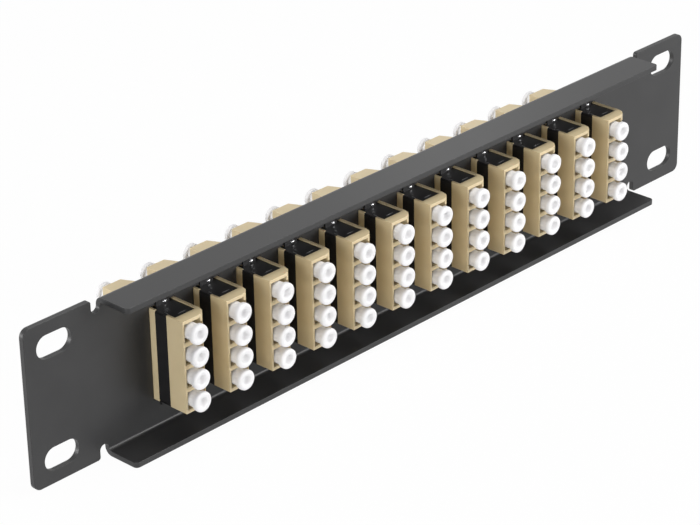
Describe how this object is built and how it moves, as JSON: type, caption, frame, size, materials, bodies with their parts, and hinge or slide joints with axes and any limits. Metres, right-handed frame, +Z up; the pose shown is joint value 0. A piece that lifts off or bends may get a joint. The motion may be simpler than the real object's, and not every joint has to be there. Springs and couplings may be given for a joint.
{
  "type": "fibre patch panel",
  "caption": "Folded steel rack panel carrying a row of upright four-port fibre adapters, each held by a spring clip and closed by dust caps.",
  "frame": {"origin": "centre of the four rack slots, on the front face of the sheet", "axes": "+X along the panel to the user's right, -Y out of the front towards the user, +Z up"},
  "size_m": [0.254, 0.0357, 0.044],
  "materials": {
    "coated_steel": "fine matt powder coat",
    "housing_plastic": "satin moulded",
    "clip_steel": "gloss black",
    "cap_plastic": "soft satin",
    "ceramic": "polished ceramic"
  },
  "bodies": {
    "panel_assembly": {"panel": "coated_steel", "adapter_housing_01": "housing_plastic", "adapter_housing_02": "housing_plastic", "adapter_housing_03": "housing_plastic", "adapter_housing_04": "housing_plastic", "adapter_housing_05": "housing_plastic", "adapter_housing_06": "housing_plastic", "adapter_housing_07": "housing_plastic", "adapter_housing_08": "housing_plastic", "adapter_housing_09": "housing_plastic", "adapter_housing_10": "housing_plastic", "adapter_housing_11": "housing_plastic", "adapter_housing_12": "housing_plastic", "spring_clip_01": "clip_steel", "spring_clip_02": "clip_steel", "spring_clip_03": "clip_steel", "spring_clip_04": "clip_steel", "spring_clip_05": "clip_steel", "spring_clip_06": "clip_steel", "spring_clip_07": "clip_steel", "spring_clip_08": "clip_steel", "spring_clip_09": "clip_steel", "spring_clip_10": "clip_steel", "spring_clip_11": "clip_steel", "spring_clip_12": "clip_steel", "alignment_sleeves": "ceramic"},
    "front_caps_01": {"front_dust_caps_01": "cap_plastic"},
    "front_caps_02": {"front_dust_caps_02": "cap_plastic"},
    "front_caps_03": {"front_dust_caps_03": "cap_plastic"},
    "front_caps_04": {"front_dust_caps_04": "cap_plastic"},
    "front_caps_05": {"front_dust_caps_05": "cap_plastic"},
    "front_caps_06": {"front_dust_caps_06": "cap_plastic"},
    "front_caps_07": {"front_dust_caps_07": "cap_plastic"},
    "front_caps_08": {"front_dust_caps_08": "cap_plastic"},
    "front_caps_09": {"front_dust_caps_09": "cap_plastic"},
    "front_caps_10": {"front_dust_caps_10": "cap_plastic"},
    "front_caps_11": {"front_dust_caps_11": "cap_plastic"},
    "front_caps_12": {"front_dust_caps_12": "cap_plastic"},
    "rear_caps_01": {"rear_dust_caps_01": "cap_plastic"},
    "rear_caps_02": {"rear_dust_caps_02": "cap_plastic"},
    "rear_caps_03": {"rear_dust_caps_03": "cap_plastic"},
    "rear_caps_04": {"rear_dust_caps_04": "cap_plastic"},
    "rear_caps_05": {"rear_dust_caps_05": "cap_plastic"},
    "rear_caps_06": {"rear_dust_caps_06": "cap_plastic"},
    "rear_caps_07": {"rear_dust_caps_07": "cap_plastic"},
    "rear_caps_08": {"rear_dust_caps_08": "cap_plastic"},
    "rear_caps_09": {"rear_dust_caps_09": "cap_plastic"},
    "rear_caps_10": {"rear_dust_caps_10": "cap_plastic"},
    "rear_caps_11": {"rear_dust_caps_11": "cap_plastic"},
    "rear_caps_12": {"rear_dust_caps_12": "cap_plastic"}
  },
  "joints": [
    {"name": "front_caps_01_pull", "type": "slide", "parent": "panel_assembly", "child": "front_caps_01", "axis": [0, -1, 0], "range_m": [0, 0.01]},
    {"name": "front_caps_02_pull", "type": "slide", "parent": "panel_assembly", "child": "front_caps_02", "axis": [0, -1, 0], "range_m": [0, 0.01]},
    {"name": "front_caps_03_pull", "type": "slide", "parent": "panel_assembly", "child": "front_caps_03", "axis": [0, -1, 0], "range_m": [0, 0.01]},
    {"name": "front_caps_04_pull", "type": "slide", "parent": "panel_assembly", "child": "front_caps_04", "axis": [0, -1, 0], "range_m": [0, 0.01]},
    {"name": "front_caps_05_pull", "type": "slide", "parent": "panel_assembly", "child": "front_caps_05", "axis": [0, -1, 0], "range_m": [0, 0.01]},
    {"name": "front_caps_06_pull", "type": "slide", "parent": "panel_assembly", "child": "front_caps_06", "axis": [0, -1, 0], "range_m": [0, 0.01]},
    {"name": "front_caps_07_pull", "type": "slide", "parent": "panel_assembly", "child": "front_caps_07", "axis": [0, -1, 0], "range_m": [0, 0.01]},
    {"name": "front_caps_08_pull", "type": "slide", "parent": "panel_assembly", "child": "front_caps_08", "axis": [0, -1, 0], "range_m": [0, 0.01]},
    {"name": "front_caps_09_pull", "type": "slide", "parent": "panel_assembly", "child": "front_caps_09", "axis": [0, -1, 0], "range_m": [0, 0.01]},
    {"name": "front_caps_10_pull", "type": "slide", "parent": "panel_assembly", "child": "front_caps_10", "axis": [0, -1, 0], "range_m": [0, 0.01]},
    {"name": "front_caps_11_pull", "type": "slide", "parent": "panel_assembly", "child": "front_caps_11", "axis": [0, -1, 0], "range_m": [0, 0.01]},
    {"name": "front_caps_12_pull", "type": "slide", "parent": "panel_assembly", "child": "front_caps_12", "axis": [0, -1, 0], "range_m": [0, 0.01]},
    {"name": "rear_caps_01_pull", "type": "slide", "parent": "panel_assembly", "child": "rear_caps_01", "axis": [0, 1, 0], "range_m": [0, 0.01]},
    {"name": "rear_caps_02_pull", "type": "slide", "parent": "panel_assembly", "child": "rear_caps_02", "axis": [0, 1, 0], "range_m": [0, 0.01]},
    {"name": "rear_caps_03_pull", "type": "slide", "parent": "panel_assembly", "child": "rear_caps_03", "axis": [0, 1, 0], "range_m": [0, 0.01]},
    {"name": "rear_caps_04_pull", "type": "slide", "parent": "panel_assembly", "child": "rear_caps_04", "axis": [0, 1, 0], "range_m": [0, 0.01]},
    {"name": "rear_caps_05_pull", "type": "slide", "parent": "panel_assembly", "child": "rear_caps_05", "axis": [0, 1, 0], "range_m": [0, 0.01]},
    {"name": "rear_caps_06_pull", "type": "slide", "parent": "panel_assembly", "child": "rear_caps_06", "axis": [0, 1, 0], "range_m": [0, 0.01]},
    {"name": "rear_caps_07_pull", "type": "slide", "parent": "panel_assembly", "child": "rear_caps_07", "axis": [0, 1, 0], "range_m": [0, 0.01]},
    {"name": "rear_caps_08_pull", "type": "slide", "parent": "panel_assembly", "child": "rear_caps_08", "axis": [0, 1, 0], "range_m": [0, 0.01]},
    {"name": "rear_caps_09_pull", "type": "slide", "parent": "panel_assembly", "child": "rear_caps_09", "axis": [0, 1, 0], "range_m": [0, 0.01]},
    {"name": "rear_caps_10_pull", "type": "slide", "parent": "panel_assembly", "child": "rear_caps_10", "axis": [0, 1, 0], "range_m": [0, 0.01]},
    {"name": "rear_caps_11_pull", "type": "slide", "parent": "panel_assembly", "child": "rear_caps_11", "axis": [0, 1, 0], "range_m": [0, 0.01]},
    {"name": "rear_caps_12_pull", "type": "slide", "parent": "panel_assembly", "child": "rear_caps_12", "axis": [0, 1, 0], "range_m": [0, 0.01]}
  ]
}
